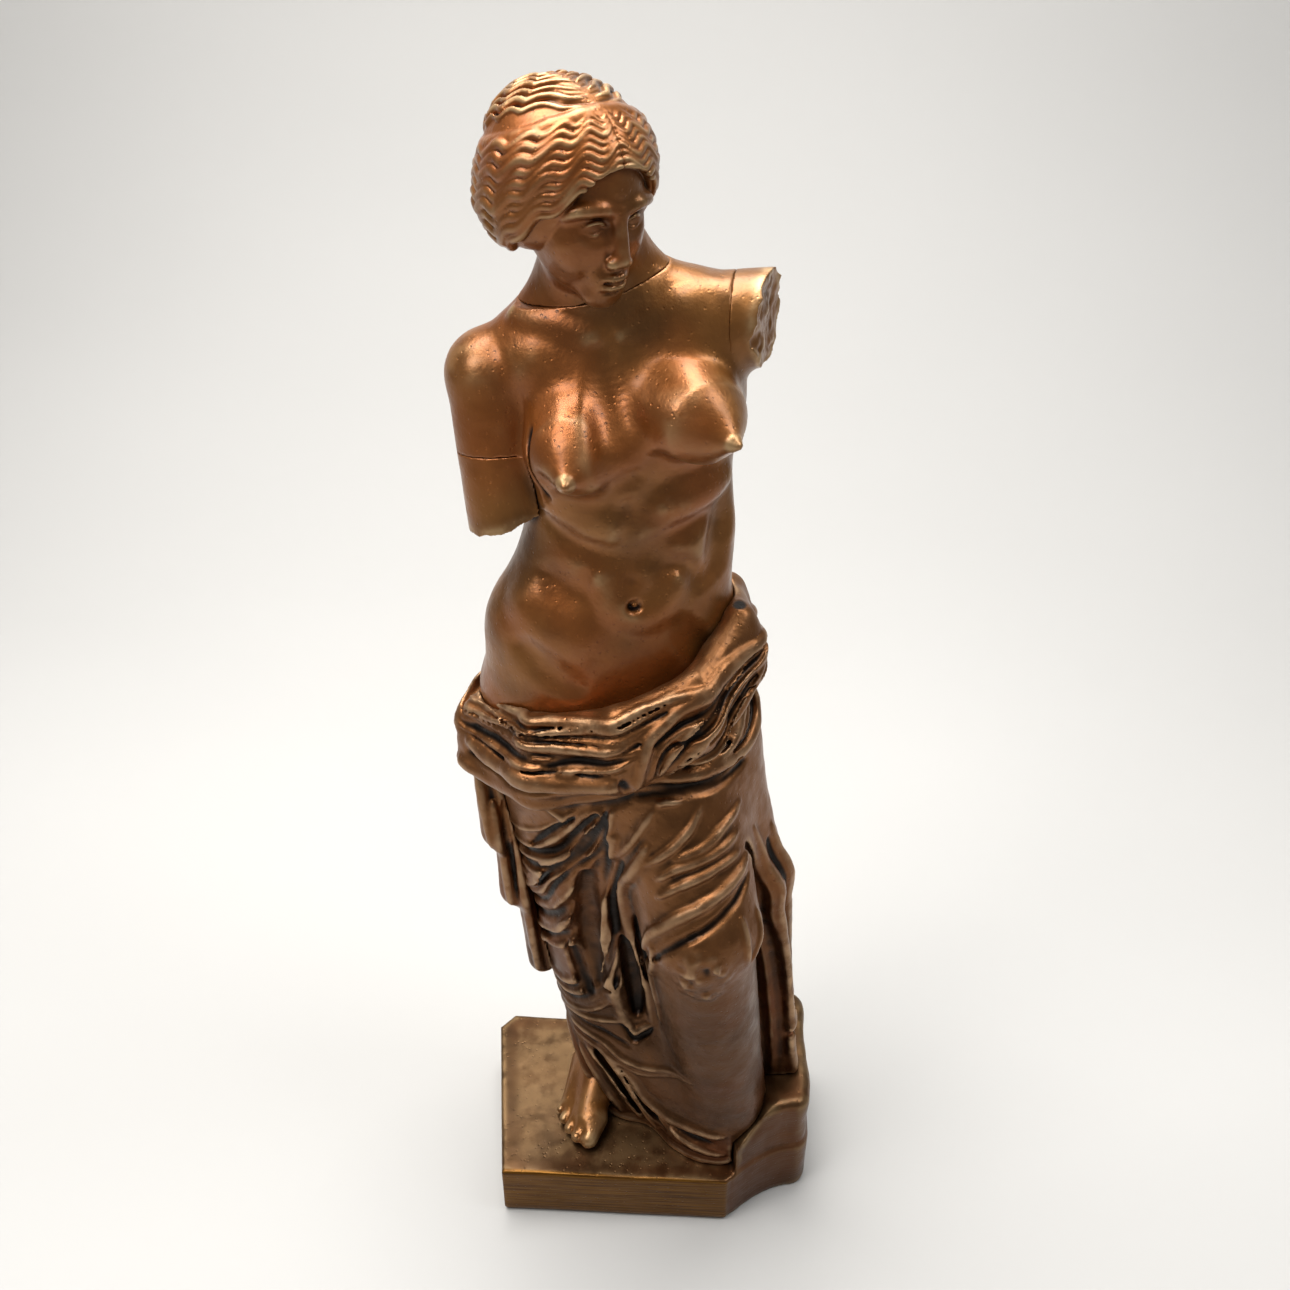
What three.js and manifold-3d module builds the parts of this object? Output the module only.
// A bronze statuette of a half-draped standing figure, cast hollow in sections that are
// socketed and pinned together and screwed to a hollow plinth. Millimetres, +Z up.
// The viewer stands at -Y, and the figure's right side is at -X.
import * as THREE from 'three';
import { ParametricGeometry } from 'three/addons/geometries/ParametricGeometry.js';
import { mergeVertices } from 'three/addons/utils/BufferGeometryUtils.js';
import Module from 'manifold-3d';

const wasm = await Module();
wasm.setup();

// ---- driving dimensions -------------------------------------------------------------
const GAP = 0.3;             // clearance between two pieces that meet
const TINY = 0.004;          // edges left by the cuts that are shorter than this are closed up
const WALL = 5;              // thickness of the cast bronze
const PLINTH_TOP = 39;       // height of the plinth's flat top
const PLINTH_LEFT = -102.5;
const PLINTH_RIGHT = 108.5;
const PLINTH_FRONT = -74;
const PLINTH_BACK = 52;
const WAIST_SEAT = 336;      // the torso's lower rim rests at this height inside the drapery
const FLOOR = 6;             // thickness of the cast floor under the figure
const RIM = 10;              // width of the plinth's underside rim
const PIN_RADIUS = 2.5;
const SCREW_RADIUS = 3;
const SCREW_PLACES = [[-5, -8], [-6, 18], [28, -10], [28, 22]];
const SEGMENTS = 8;          // sides of every pin, screw and tenon

// ---- the clay: rounded lumps and limbs, melted together -----------------------------
// A lump is an ellipsoid, turned about z, then x, then y, in degrees. A limb is a tapered
// rod with round ends. blend is how softly each one melts into those before it.
function lump(centre, radii, turn = [0, 0, 0], blend = 8) {
  const [turnZ, turnX, turnY] = turn.map(THREE.MathUtils.degToRad);
  const frame = new THREE.Quaternion().setFromEuler(new THREE.Euler(turnX, turnY, turnZ, 'ZXY')).invert();
  const middle = new THREE.Vector3(...centre);
  const size = new THREE.Vector3(...radii);
  const local = new THREE.Vector3();
  return {
    blend,
    distance(point) {
      local.subVectors(point, middle).applyQuaternion(frame).divide(size);
      const ratio = local.length();
      return ratio * (ratio - 1) / Math.max(local.divide(size).length(), 1e-6);
    },
  };
}

function limb(from, to, radiusFrom, radiusTo, blend = 8) {
  const line = new THREE.Line3(new THREE.Vector3(...from), new THREE.Vector3(...to));
  const nearest = new THREE.Vector3();
  return {
    blend,
    distance(point) {
      const t = line.closestPointToPointParameter(point, true);
      return line.at(t, nearest).distanceTo(point) - THREE.MathUtils.lerp(radiusFrom, radiusTo, t);
    },
  };
}

function distanceTo(clay, point) {
  let total = 1e3;
  for (const piece of clay) {
    const next = piece.distance(point);
    const overlap = piece.blend > 0 ? Math.max(piece.blend - Math.abs(total - next), 0) / piece.blend : 0;
    total = Math.min(total, next) - overlap * overlap * piece.blend / 4;
  }
  return total;
}

// The first point of the clay, moved out by grow, that a ray from outside meets on its way in.
function meet(clay, centre, direction, grow = 0, target = new THREE.Vector3()) {
  const reach = 170;
  let along = reach;
  for (let step = 0; step < 90 && along > 0; step += 1) {
    target.copy(direction).multiplyScalar(along).add(centre);
    const left = distanceTo(clay, target) - grow;
    if (left < 0.02) break;
    along -= left * 0.8;
  }
  return target.copy(direction).multiplyScalar(Math.max(along, 1)).add(centre);
}

// A closed skin over the clay: rays fan out below the spine's foot, run level up the
// spine, and fan out again over its head.
function skin(clay, { foot, head, around, along, grow = 0, fan = 0.25 }) {
  const low = new THREE.Vector3(...foot);
  const high = new THREE.Vector3(...head);
  const axis = new THREE.Vector3().subVectors(high, low).normalize();
  const upright = new THREE.Quaternion().setFromUnitVectors(new THREE.Vector3(0, 0, 1), axis);
  const centre = new THREE.Vector3();
  const direction = new THREE.Vector3();
  const place = (u, v, target) => {
    const level = THREE.MathUtils.clamp((v - fan) / (1 - 2 * fan), 0, 1);
    const fanned = v < fan ? v / fan - 1 : Math.max(v - 1 + fan, 0) / fan;
    const lift = fanned * Math.PI / 2;
    const turn = 2 * Math.PI * (u % 1);
    centre.lerpVectors(low, high, level);
    const flat = Math.abs(fanned) === 1 ? 0 : Math.cos(lift);
    direction.set(flat * Math.cos(turn), flat * Math.sin(turn), Math.sin(lift)).applyQuaternion(upright);
    meet(clay, centre, direction, grow, target);
  };
  return solid(new ParametricGeometry(place, around, along));
}

// ---- solids -------------------------------------------------------------------------
function solid(geometry) {
  geometry.deleteAttribute('normal');
  geometry.deleteAttribute('uv');
  const merged = mergeVertices(geometry, 1e-3);
  const corners = [];
  for (let i = 0; i < merged.index.count; i += 3) {
    const [a, b, c] = [0, 1, 2].map((k) => merged.index.getX(i + k));
    if (a !== b && b !== c && c !== a) corners.push(a, b, c);
  }
  return new wasm.Manifold(new wasm.Mesh({
    numProp: 3,
    vertProperties: new Float32Array(merged.attributes.position.array),
    triVerts: new Uint32Array(corners),
  }));
}

// A round bar between two points.
function bar(from, to, radius, sides = SEGMENTS) {
  const start = new THREE.Vector3(...from);
  const end = new THREE.Vector3(...to);
  const geometry = new THREE.CylinderGeometry(radius, radius, start.distanceTo(end), sides);
  const axis = new THREE.Vector3().subVectors(end, start).normalize();
  geometry.applyQuaternion(new THREE.Quaternion().setFromUnitVectors(new THREE.Vector3(0, 1, 0), axis));
  const middle = start.lerp(end, 0.5);
  return solid(geometry.translate(middle.x, middle.y, middle.z));
}

// The half of space on the side that normal points to, as a very large block.
function halfSpace(point, normal, shift = 0) {
  const size = 600;
  const axis = new THREE.Vector3(...normal).normalize();
  const geometry = new THREE.BoxGeometry(size, size, size);
  geometry.translate(0, 0, size / 2 + shift);
  geometry.applyQuaternion(new THREE.Quaternion().setFromUnitVectors(new THREE.Vector3(0, 0, 1), axis));
  return solid(geometry.translate(...point));
}

const groundLevel = (height) => halfSpace([0, 0, height], [0, 0, -1]);
const beyond = ({ point, normal }, shift = 0) => halfSpace(point, normal, shift);
const before = ({ point, normal }, shift = 0) => halfSpace(point, normal.map((value) => -value), shift);

function largest(body) {
  const pieces = body.decompose();
  return pieces.reduce((best, piece) => (piece.volume() > best.volume() ? piece : best));
}

// ---- the figure's clay --------------------------------------------------------------
const TORSO = [
  lump([-5, 6, 500], [50, 36, 60], [22, 0, -3], 0),        // rib cage
  lump([-12, 10, 541], [50, 25, 28], [20, 0, 8], 14),      // shoulder girdle
  limb([-71, 9, 534], [-40, 11, 546], 21, 20, 14),         // right shoulder
  limb([-10, 12, 556], [18, 12, 559], 21, 21, 14),         // left shoulder
  lump([22, 8, 528], [27, 24, 34], [22, 0, 0], 14),        // left flank
  lump([-6, 3, 452], [53, 36, 46], [14, 0, 4], 20),        // waist
  lump([-16, 2, 400], [66, 42, 54], [10, 0, 4], 22),       // belly
  lump([-18, 8, 360], [70, 46, 40], [6, 0, 2], 20),        // hips
  limb([-20, 11, 556], [-23, 2, 604], 22, 21, 12),         // neck
  limb([-52, 12, 556], [-26, 12, 590], 10, 14, 18),        // slopes of the neck
  limb([12, 14, 572], [-16, 14, 590], 10, 14, 18),
];
const BREASTS = [
  lump([-26, -24, 510], [25, 24, 23], [22, 0, 0], 12),
  limb([-28, -38, 508], [-30, -54, 507], 14, 3, 12),
  lump([24, -20, 527], [23, 24, 22], [22, 0, 0], 12),
  limb([34, -32, 525], [44, -46, 525], 13, 3, 12),
];
const RIGHT_ARM = [limb([-71, 9, 533], [-64, -5, 440], 22, 18.5)];
const LEFT_SHOULDER = [limb([8, 12, 559], [80, 10, 565], 22, 22)];
const HEAD_CENTRE = new THREE.Vector3(-27, -8, 620);
const HEAD_TURN = [42, 12, 0];     // turned to the figure's left and bowed
const HEAD_FRAME = new THREE.Euler(...[12, 0, 42].map(THREE.MathUtils.degToRad), 'ZXY');

// A point of the head, from its centre, in its own upright frame.
function onHead(x, y, z) {
  return new THREE.Vector3(x, y, z).applyEuler(HEAD_FRAME).add(HEAD_CENTRE).toArray();
}
const HEAD = [
  lump(onHead(0, 4, 8), [27, 35, 33], HEAD_TURN, 0),                   // skull
  lump(onHead(0, -9, -14), [20, 22, 26], HEAD_TURN, 8),                // jaw
  limb(onHead(0, -29, 4), onHead(0, -34, -11), 3, 4.5, 6),             // nose
  limb(onHead(0, -27, -31), onHead(0, -20, -30), 5, 7, 8),             // chin
  lump(onHead(0, 12, 14), [33, 35, 30], HEAD_TURN, 2),                 // cap of hair
  lump(onHead(-18, 8, -4), [15, 26, 15], HEAD_TURN, 4),                // waved sides
  lump(onHead(18, 8, -4), [15, 26, 15], HEAD_TURN, 4),
  lump(onHead(0, 42, -6), [18, 14, 17], HEAD_TURN, 6),                 // knot at the nape
];
const LEGS = [
  lump([-14, 6, 346], [70, 53, 62], [6, 0, 12], 0),        // hips
  limb([-36, 4, 315], [-4, 4, 30], 46, 32, 20),            // standing leg
  limb([12, -6, 322], [40, -50, 242], 44, 33, 20),         // raised thigh
  limb([40, -50, 238], [64, -26, 35], 33, 27, 12),         // bent knee and shin
  limb([5, 12, 310], [35, 8, 25], 44, 38, 24),             // cloth behind the legs
  limb([40, 8, 345], [68, -2, 235], 14, 17, 24),           // cloth that hangs at the left
  limb([68, -2, 235], [84, -12, 45], 17, 18, 10),
  limb([14, -14, 110], [46, -30, 38], 32, 26, 16),         // hem of the skirt
];
// The cloth rolled round the hips: points of its core, anticlockwise from above.
const ROLL = [
  [-86, -8, 334], [-50, -44, 348], [-8, -54, 362], [30, -42, 378], [50, -8, 396],
  [44, 26, 394], [10, 54, 366], [-34, 56, 348], [-76, 30, 336],
];
const ROLL_RADIUS = 14;
const ROLL_HEIGHT = 25;      // the roll is taller than it is deep
const HIP_FOLD = [
  limb([-86, 0, 318], [-81, -6, 264], 10, 12, 8),
  limb([-76, 4, 290], [-74, -4, 216], 12, 11, 8),
  limb([-66, 4, 250], [-62, -2, 156], 14, 9, 8),
];
const FOOT = [
  limb([-40, -44, 47], [-24, 4, 62], 11, 16, 0),
  limb([-33, -48, 46], [-18, -20, 58], 8, 12, 6),
  limb([-48, -34, 45], [-38, -2, 54], 7, 12, 6),
];

// Each fold is a rope laid on the cloth: [degrees from the front towards +X, height, radius].
const FOLDS = [
  [[-62, 343, 8], [-33, 354, 8], [-8, 364, 7], [9, 371, 6]],                  // second roll
  [[-69, 333, 6], [-37, 326, 7], [-10, 331, 6]],                              // third roll
  [[70, 400, 6], [40, 378, 8], [18, 350, 8]],                                 // fan of the overfold
  [[84, 376, 6], [52, 366, 8], [30, 344, 7]],
  [[90, 350, 6], [70, 345, 7], [52, 340, 7]],
  [[-10, 318, 4], [-14, 268, 5], [-40, 217, 6], [-58, 196, 5]],               // swags of the left leg
  [[-6, 318, 4], [-20, 286, 5], [-49, 254, 6], [-64, 236, 5]],
  [[13, 300, 5], [0, 240, 6], [-14, 192, 6], [-4, 136, 6]],                   // strip between the legs
  [[17, 259, 5], [27, 272, 6], [38, 279, 6], [54, 284, 5]],                   // edge above the knee
  [[49, 331, 4], [17, 300, 5], [-2, 250, 4]],                                 // pulls across the thigh
  [[58, 306, 4], [36, 296, 5], [12, 256, 4]],
  [[-60, 126, 4], [-33, 111, 5], [5, 97, 5], [29, 120, 3]],                   // cloth round the shin
  [[-54, 98, 4], [-16, 76, 6], [14, 50, 5]],                                  // skirt
  [[-34, 98, 4], [14, 68, 6], [36, 50, 5]],
  [[63, 295, 5], [72, 232, 8], [80, 160, 8], [84, 100, 7]],                   // hanging edge at the left
  [[60, 262, 4], [70, 150, 6], [70, 75, 6]],
];
const SPINE = new THREE.Line3(new THREE.Vector3(14, -2, 40), new THREE.Vector3(-16, 4, 350));

function drape(clay, fold) {
  const laid = fold.map(([degrees, height, radius]) => {
    const centre = SPINE.at((height - SPINE.start.z) / (SPINE.end.z - SPINE.start.z), new THREE.Vector3());
    const turn = THREE.MathUtils.degToRad(degrees);
    return { at: meet(clay, centre, new THREE.Vector3(Math.sin(turn), -Math.cos(turn), 0)).toArray(), radius };
  });
  return laid.slice(1).map((next, i) => limb(laid[i].at, next.at, laid[i].radius, next.radius, 6));
}

const CLOTH = [...LEGS, ...FOLDS.flatMap((fold) => drape(LEGS, fold))];

// ---- plinth -------------------------------------------------------------------------
// The front right corner is hollowed by a curve that runs from the straight front to the right side.
function plinthOutline() {
  const shape = new THREE.Shape();
  shape.moveTo(-84, PLINTH_FRONT);
  shape.lineTo(57, PLINTH_FRONT + 2);
  shape.quadraticCurveTo(81, -46, 100, -44);
  shape.quadraticCurveTo(PLINTH_RIGHT, -42, PLINTH_RIGHT, -30);
  shape.lineTo(PLINTH_RIGHT, 34);
  shape.quadraticCurveTo(PLINTH_RIGHT, PLINTH_BACK, 92, PLINTH_BACK);
  shape.lineTo(-94, PLINTH_BACK);
  shape.lineTo(PLINTH_LEFT, 41);
  return shape;
}

// The recess under the plinth leaves a rim all round.
function recessOutline() {
  const shape = new THREE.Shape();
  shape.moveTo(-75, PLINTH_FRONT + RIM);
  shape.lineTo(48, PLINTH_FRONT + RIM);
  shape.lineTo(64, -44);
  shape.lineTo(PLINTH_RIGHT - RIM, -32);
  shape.lineTo(PLINTH_RIGHT - RIM, 36);
  shape.lineTo(88, PLINTH_BACK - RIM);
  shape.lineTo(PLINTH_LEFT + RIM + 2, PLINTH_BACK - RIM);
  return shape;
}

function prism(shape, height) {
  return solid(new THREE.ExtrudeGeometry(shape, { depth: height, bevelEnabled: false, curveSegments: 6 }));
}

// The rock stands on the plinth's right end, and its top climbs from the left and then runs level.
const ROCK_TOP = 80;
const ROCK_FACE = { point: [63, -66, 0], normal: [-1, -0.2, 0] };
const ROCK_SLOPE = { point: [63, -66, 60], normal: [-1.1, 0, 1] };
function rock(grow = 0) {
  const wider = 1 + grow / 50;
  const block = prism(plinthOutline(), ROCK_TOP + grow).scale([wider, wider, 1]);
  return block.subtract(beyond(ROCK_FACE, grow)).subtract(beyond(ROCK_SLOPE, grow));
}

// ---- the castings -------------------------------------------------------------------
const torsoSpine = { foot: [-16, 4, 350], head: [-12, 9, 548] };
const legSpine = { foot: SPINE.start.toArray(), head: SPINE.end.toArray() };

const trunk = skin([...TORSO, ...BREASTS], { ...torsoSpine, around: 36, along: 28 });
const trunkHollow = skin(TORSO, { ...torsoSpine, around: 16, along: 12, grow: -WALL });
const trunkClearance = skin([...TORSO, ...BREASTS], { ...torsoSpine, around: 36, along: 28, grow: GAP });

const ARM_JOINT = { point: [-68, 3, 500], normal: [0.07, -0.15, -1] };
const ARM_BREAK = { point: [-64, -10, 463], normal: [0.15, 0.1, -1] };
const SHOULDER_JOINT = { point: [42, 8, 562], normal: [1, -0.12, 0.05] };
const SHOULDER_BREAK = { point: [56, 8, 564], normal: [0.97, -0.26, 0] };
const HEEL = { point: [-26, -2, 0], normal: [1, 1, 0] };
const NECK_JOINT = { point: [-21, 6, 577], normal: [-0.06, -0.2, 1] };

const armSkin = skin(RIGHT_ARM, { foot: [-65, -4, 448], head: [-71, 9, 533], around: 18, along: 12 });
const shoulderSkin = skin(LEFT_SHOULDER, { foot: [18, 12, 560], head: [75, 10, 565], around: 18, along: 10 });
const footSkin = (grow = 0) => {
  const rays = { foot: [-40, -38, 50], head: [-28, -4, 54], around: 18, along: 14, fan: 0.35 };
  return skin(FOOT, { ...rays, grow });
};

// A tenon is a short bar on one casting; its socket is cut GAP wider and deeper in the next.
const armTenon = { from: [-67, 0, 484], to: [-68.5, 4, 512], radius: 11 };
const shoulderTenon = { from: [48, 9, 562.5], to: [30, 11, 561.5], radius: 12 };
const neckTenon = { from: [-23, 2, 590], to: [-20, 9, 560], radius: 13 };
const tenonBar = ({ from, to, radius }) => bar(from, to, radius, 16);

function socket({ from, to, radius }) {
  const end = new THREE.Vector3(...to);
  const axis = new THREE.Vector3(...from).sub(end).normalize();
  return bar(from, end.addScaledVector(axis, -GAP).toArray(), radius + GAP, 16);
}

// A pin lies across a joint and fills its own hole but for GAP all round and at its ends.
// [from, to] are its ends; it is given by a point on the joint, a direction and two depths.
function across(point, direction, outward, inward) {
  const axis = new THREE.Vector3(...direction).normalize();
  const middle = new THREE.Vector3(...point);
  return [axis.clone().multiplyScalar(outward).add(middle), axis.clone().multiplyScalar(-inward).add(middle)]
    .map((end) => end.toArray());
}

function waistPin(degrees) {
  const turn = THREE.MathUtils.degToRad(degrees);
  const direction = new THREE.Vector3(Math.sin(turn), -Math.cos(turn), 0);
  const centre = new THREE.Vector3(...torsoSpine.foot).setZ(WAIST_SEAT + 8);
  const surface = meet(TORSO, centre, direction).toArray();
  return across(surface, direction.toArray(), 5, 8);
}

const PINS = {
  waist_pin_1: waistPin(-30),
  waist_pin_2: waistPin(60),
  waist_pin_3: waistPin(150),
  waist_pin_4: waistPin(-120),
  neck_pin_1: across([-35, 6, 569], [-1, 0.1, 0], 6, 8),
  neck_pin_2: across([-7, 6, 569], [1, 0.1, 0], 6, 8),
  arm_pin: across([-68, 14, 506], [0, 1, 0.1], 6, 8),
  shoulder_pin: across([36, 23, 562], [0, 1, 0], 6, 8),
  foot_pin: across([-32, -12, 72], [0, 0, 1], 7, 9),
  fold_pin_1: across([-66, 2, 290], [-1, 0, 0], 8, 12),
  fold_pin_2: across([-56, 2, 230], [-1, 0, 0], 8, 12),
};
const hole = ([from, to]) => {
  const start = new THREE.Vector3(...from);
  const end = new THREE.Vector3(...to);
  const spare = new THREE.Vector3().subVectors(end, start).setLength(GAP);
  return bar(start.sub(spare).toArray(), end.add(spare).toArray(), PIN_RADIUS + GAP);
};
const screwHoles = SCREW_PLACES.map(([x, y]) => bar([x, y, 20], [x, y, 70], SCREW_RADIUS + GAP));
const drillForScrews = (body) => screwHoles.reduce((left, cut) => left.subtract(cut), body);
const drill = (body, ...names) => names.reduce((left, name) => left.subtract(hole(PINS[name])), body);

function makeTorso() {
  const hollow = trunkHollow.subtract(halfSpace([0, 0, 556], [0, 0, 1]));
  const upperArm = armSkin.subtract(beyond(ARM_JOINT));
  const shoulder = shoulderSkin.subtract(beyond(SHOULDER_JOINT));
  const body = trunk.add(upperArm).add(shoulder).subtract(beyond(NECK_JOINT)).subtract(hollow)
    .subtract(halfSpace([0, 0, WAIST_SEAT], [0, 0, -1]))
    .subtract(socket(neckTenon)).subtract(socket(armTenon)).subtract(socket(shoulderTenon));
  return drill(body, 'waist_pin_1', 'waist_pin_2', 'waist_pin_3', 'waist_pin_4',
    'neck_pin_1', 'neck_pin_2', 'arm_pin', 'shoulder_pin');
}

function makeHead() {
  const neck = trunk.subtract(before(NECK_JOINT, -GAP));
  const hollow = solid(new THREE.SphereGeometry(1, 16, 10).scale(21, 25, 23).rotateX(Math.PI / 2)
    .translate(...onHead(0, 6, 8)));
  const bore = bar(onHead(0, 6, 0), [-19.5, 10, 555], 7);
  const rays = { foot: onHead(0, -4, -10), head: onHead(0, 8, 12), around: 32, along: 22, fan: 0.4 };
  const body = skin(HEAD, rays)
    .add(neck).add(tenonBar(neckTenon)).subtract(hollow).subtract(bore);
  return drill(body, 'neck_pin_1', 'neck_pin_2');
}

function makeRightArm() {
  const body = armSkin.subtract(before(ARM_JOINT, -GAP)).subtract(beyond(ARM_BREAK)).subtract(trunkClearance)
    .add(tenonBar(armTenon));
  return drill(body, 'arm_pin');
}

function makeLeftShoulder() {
  const body = shoulderSkin.subtract(before(SHOULDER_JOINT, -GAP)).subtract(beyond(SHOULDER_BREAK))
    .subtract(trunkClearance).add(tenonBar(shoulderTenon));
  return drill(body, 'shoulder_pin');
}

function makeFoot() {
  const body = footSkin().subtract(beyond(HEEL)).subtract(groundLevel(PLINTH_TOP + GAP));
  return drill(body, 'foot_pin');
}

function makeHipFold() {
  const body = skin(HIP_FOLD, { foot: [-66, 2, 190], head: [-78, 2, 300], around: 16, along: 18 })
    .subtract(clothSkin(GAP)).subtract(makeRoll().translate([0, 0, -GAP]));
  return drill(largest(body), 'fold_pin_1', 'fold_pin_2');
}

// The roll: an oval section swept round a closed curve, upright all the way.
function makeRoll() {
  const core = new THREE.CatmullRomCurve3(ROLL.map((point) => new THREE.Vector3(...point)), true);
  const sweep = (u, v, target) => {
    const turn = 2 * Math.PI * (u % 1);
    const outward = core.getTangent(v % 1).cross(new THREE.Vector3(0, 0, 1)).normalize();
    target.copy(core.getPoint(v % 1)).addScaledVector(outward, ROLL_RADIUS * Math.cos(turn));
    target.z -= ROLL_HEIGHT * Math.sin(turn);
  };
  return solid(new ParametricGeometry(sweep, 8, 36));
}

const clothSkin = (grow = 0) => skin(CLOTH, { ...legSpine, around: 48, along: 38, grow, fan: 0.2 });

// The drapery is a cup for the torso: a socket above the seat, and below it a wide hollow
// that narrows to a ledge under the torso's rim.
function makeDrapery() {
  const top = { point: [-90, 0, 338], normal: [-0.42, 0.1, 1] };
  const cup = trunkClearance.subtract(groundLevel(WAIST_SEAT - GAP));
  const ledge = lump([-16, 4, WAIST_SEAT], [44, 26, 30], [6, 0, 0], 0);
  const seat = [-2, 2].map((above) => [-16, 4, WAIST_SEAT + above]);
  const throat = skin([ledge], { foot: seat[0], head: seat[1], around: 20, along: 10 });
  const inside = skin(LEGS, { ...legSpine, around: 18, along: 14, grow: -2 * WALL })
    .subtract(halfSpace([0, 0, WAIST_SEAT - 14], [0, 0, 1]))
    .subtract(groundLevel(PLINTH_TOP + FLOOR)).subtract(rock(FLOOR));
  const footPocket = footSkin(GAP).subtract(beyond(HEEL, GAP));
  const body = clothSkin().subtract(beyond(top)).add(makeRoll())
    .subtract(groundLevel(PLINTH_TOP + GAP)).subtract(rock(GAP))
    .subtract(cup).subtract(throat).subtract(inside).subtract(footPocket);
  return drill(largest(drillForScrews(body)),
    'waist_pin_1', 'waist_pin_2', 'waist_pin_3', 'waist_pin_4', 'foot_pin', 'fold_pin_1', 'fold_pin_2');
}

function makePlinth() {
  const plate = PLINTH_TOP - WALL;
  const body = prism(plinthOutline(), PLINTH_TOP).add(rock())
    .subtract(prism(recessOutline(), plate + 1).translate([0, 0, -1]));
  return drillForScrews(body);
}

// ---- fasteners ----------------------------------------------------------------------
const WASHER = { radius: 7, thick: 1.6 };
const NUT = { radius: 5.8, thick: 5 };
const WASHER_TOP = PLINTH_TOP - WALL - GAP;
const NUT_FOOT = PLINTH_TOP + FLOOR + GAP;

function ring(radius, sides, low, high) {
  const bore = bar([0, 0, low - 1], [0, 0, high + 1], SCREW_RADIUS + GAP);
  return bar([0, 0, low], [0, 0, high], radius, sides).subtract(bore);
}
const makeWasher = () => ring(WASHER.radius, 20, WASHER_TOP - WASHER.thick, WASHER_TOP);
const makeNut = () => ring(NUT.radius, 6, NUT_FOOT, NUT_FOOT + NUT.thick);
function makeScrew() {
  const headTop = WASHER_TOP - WASHER.thick - GAP;
  return bar([0, 0, headTop - 4], [0, 0, headTop], NUT.radius, 6)
    .add(bar([0, 0, headTop - 1], [0, 0, NUT_FOOT + NUT.thick + 2], SCREW_RADIUS));
}

// ---- the scene graph ----------------------------------------------------------------
const bronze = { color: 0x4d2f1b, roughness: 0.38, metalness: 0.75 };
const darkBronze = { color: 0x3a2415, roughness: 0.45, metalness: 0.7 };
const plinthBronze = { color: 0x5a4326, roughness: 0.42, metalness: 0.7 };
const pinBronze = { color: 0x8a6a3a, roughness: 0.5, metalness: 0.9 };
const steel = { color: 0x6d6a66, roughness: 0.55, metalness: 0.9 };

const statuette = new THREE.Group();

function addPiece(name, body, look, place = [0, 0, 0]) {
  const { vertProperties, triVerts } = body.simplify(TINY).getMesh();
  const geometry = new THREE.BufferGeometry();
  geometry.setAttribute('position', new THREE.BufferAttribute(new Float32Array(vertProperties), 3));
  geometry.setIndex(new THREE.BufferAttribute(new Uint32Array(triVerts), 1));
  geometry.computeVertexNormals();
  const mesh = new THREE.Mesh(geometry, new THREE.MeshStandardMaterial(look));
  mesh.name = name;
  mesh.position.set(...place);
  statuette.add(mesh);
}

addPiece('plinth', makePlinth(), plinthBronze);
addPiece('draped_lower_body', makeDrapery(), darkBronze);
addPiece('torso', makeTorso(), bronze);
addPiece('head', makeHead(), bronze);
addPiece('right_arm_stump', makeRightArm(), bronze);
addPiece('left_shoulder_stump', makeLeftShoulder(), bronze);
addPiece('right_foot', makeFoot(), bronze);
addPiece('hip_fold', makeHipFold(), darkBronze);
for (const [name, [from, to]] of Object.entries(PINS)) {
  addPiece(name, bar(from, to, PIN_RADIUS), pinBronze);
}
SCREW_PLACES.forEach(([x, y], i) => {
  addPiece(`base_screw_${i + 1}`, makeScrew(), steel, [x, y, 0]);
  addPiece(`base_washer_${i + 1}`, makeWasher(), steel, [x, y, 0]);
  addPiece(`base_nut_${i + 1}`, makeNut(), steel, [x, y, 0]);
});

// The origin is under the middle of the whole statuette, at the plinth's underside.
statuette.updateMatrixWorld(true);
const middle = new THREE.Box3().setFromObject(statuette, true).getCenter(new THREE.Vector3());
statuette.position.set(-middle.x, -middle.y, 0);

export default statuette;
